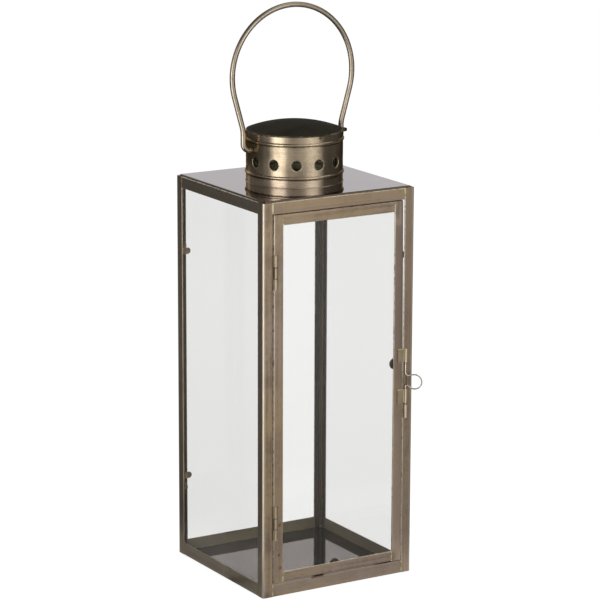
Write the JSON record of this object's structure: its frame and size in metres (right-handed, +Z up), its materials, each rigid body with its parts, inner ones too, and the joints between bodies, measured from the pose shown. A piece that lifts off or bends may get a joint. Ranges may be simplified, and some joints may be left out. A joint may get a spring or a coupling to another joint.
{
  "type": "candle lantern",
  "caption": "Square glazed brass candle lantern with a hinged glass door, a sliding wire bolt, a round vented chimney with a domed lid, and a swinging wire bail.",
  "frame": {"origin": "middle of the underside of the base", "axes": "+Z up, -Y out of the door's face, -X towards the door's hinges"},
  "size_m": [0.1444, 0.1515, 0.4701],
  "materials": {
    "frame_brass": "satin brushed, aged",
    "bright_brass": "polished by handling",
    "plate_brass": "glossy dark lacquer",
    "chimney_brass": "satin, turned",
    "lid_brass": "dark patina",
    "bail_brass": "satin wire",
    "clip_brass": "satin, aged",
    "glass": "clear"
  },
  "bodies": {
    "frame": {"bottom_rail_back": "frame_brass", "bottom_rail_front": "frame_brass", "bottom_rail_left": "frame_brass", "bottom_rail_right": "frame_brass", "chimney_collar": "chimney_brass", "chimney_lid": "lid_brass", "floor_plate": "plate_brass", "glass_back": "glass", "glass_clips_back": "clip_brass", "glass_clips_left": "clip_brass", "glass_clips_right": "clip_brass", "glass_left": "glass", "glass_right": "glass", "hinge_lower_frame_leaf": "bright_brass", "hinge_lower_pin": "bright_brass", "hinge_upper_frame_leaf": "bright_brass", "hinge_upper_pin": "bright_brass", "latch_keeper": "bright_brass", "post_back_left": "frame_brass", "post_back_right": "frame_brass", "post_front_left": "frame_brass", "post_front_right": "frame_brass", "roof_plate": "plate_brass", "top_rail_back": "frame_brass", "top_rail_front": "frame_brass", "top_rail_left": "frame_brass", "top_rail_right": "frame_brass"},
    "door": {"door_glass": "glass", "door_glass_clips": "clip_brass", "door_rail_bottom": "frame_brass", "door_rail_top": "frame_brass", "door_stile_hinge": "frame_brass", "door_stile_latch": "frame_brass", "hinge_lower_door_leaf": "bright_brass", "hinge_upper_door_leaf": "bright_brass", "latch_guide_lower": "bright_brass", "latch_guide_upper": "bright_brass"},
    "latch_bolt": {"latch_bolt": "bright_brass"},
    "bail": {"bail_handle": "bail_brass"}
  },
  "joints": [
    {"name": "door_hinge", "type": "hinge", "parent": "frame", "child": "door", "pos_m": [-0.0598, -0.07215, 0.165], "axis": [0, 0, -1], "range_deg": [0, 172]},
    {"name": "bolt_slide", "type": "slide", "parent": "door", "child": "latch_bolt", "axis": [0, 0, 1], "range_m": [-0.0019, 0.0065]},
    {"name": "bail_swing", "type": "hinge", "parent": "frame", "child": "bail", "pos_m": [-0.0018, 0, 0.353], "axis": [1, 0, 0], "range_deg": [-110, 110]}
  ]
}
